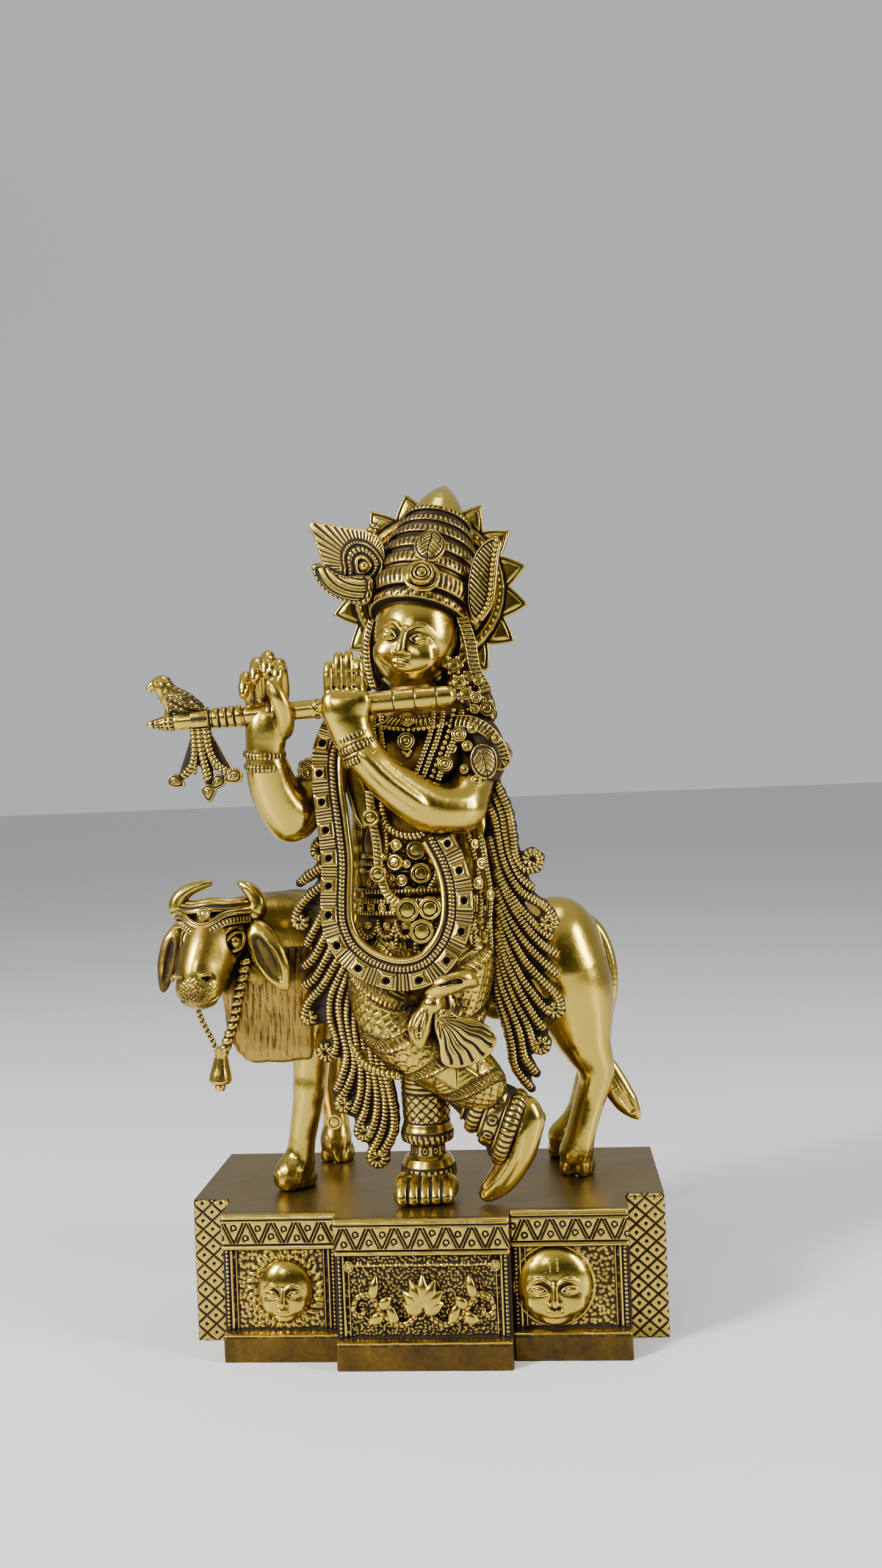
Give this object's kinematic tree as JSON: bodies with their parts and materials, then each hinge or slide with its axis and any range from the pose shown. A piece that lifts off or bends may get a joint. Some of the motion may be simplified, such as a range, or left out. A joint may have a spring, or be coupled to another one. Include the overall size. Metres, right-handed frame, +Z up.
{
  "type": "deity figurine",
  "caption": "Cast brass flute-playing deity figure with a cow standing behind it, on a stepped hollow pedestal with relief faces.",
  "frame": {"origin": "middle of the object's box, on the plane it stands on", "axes": "+Z up, +X to the viewer's right, +Y away from the viewer"},
  "size_m": [0.2645, 0.1256, 0.4589],
  "materials": {
    "polished_brass": "polished",
    "patinated_brass": "patinated",
    "satin_brass": "satin",
    "coppery_brass": "brushed satin, reddish",
    "zinc_steel": "zinc plated"
  },
  "bodies": {
    "root": {"pedestal_shell": "satin_brass", "pilaster_left": "patinated_brass", "pilaster_right": "patinated_brass", "bay_left": "patinated_brass", "bay_right": "patinated_brass", "centre_block": "patinated_brass", "sun_boss": "patinated_brass", "moon_boss": "patinated_brass", "lotus_relief": "patinated_brass", "figure_stud": "zinc_steel", "figure_nut": "zinc_steel", "hoof_studs": "zinc_steel", "hoof_nuts": "zinc_steel", "cow_body": "polished_brass", "cow_legs": "polished_brass", "cow_dewlap": "coppery_brass", "cow_head": "polished_brass", "cow_horns": "polished_brass", "cow_headband": "patinated_brass", "cow_ear_left": "polished_brass", "cow_ear_right": "polished_brass", "cow_tail": "polished_brass", "cow_collar": "patinated_brass", "cow_bell": "patinated_brass", "foot_standing": "polished_brass", "foot_crossed": "polished_brass", "leg_standing": "patinated_brass", "leg_crossed": "patinated_brass", "anklets_standing": "patinated_brass", "anklets_crossed": "patinated_brass", "torso": "coppery_brass", "head": "polished_brass", "ears_and_drops": "patinated_brass", "hair_locks": "patinated_brass", "crown": "patinated_brass", "crown_finial": "polished_brass", "crown_medallion": "patinated_brass", "crown_leaf": "patinated_brass", "halo": "patinated_brass", "crown_side_plume": "patinated_brass", "peacock_feather": "patinated_brass", "arm_right": "polished_brass", "arm_left": "polished_brass", "armlets": "patinated_brass", "bangles_right": "patinated_brass", "bangles_left": "patinated_brass", "shoulder_ornament": "patinated_brass", "flute": "patinated_brass", "flute_bird": "patinated_brass", "flute_tassel": "patinated_brass", "collar_necklace": "patinated_brass", "chest_chains": "patinated_brass", "garland_outer": "patinated_brass", "garland_inner": "patinated_brass", "waist_belt": "patinated_brass", "girdle_drops": "patinated_brass", "sash_knot": "patinated_brass", "shawl_left": "patinated_brass", "shawl_right": "patinated_brass", "shawl_back": "patinated_brass"}
  },
  "joints": []
}
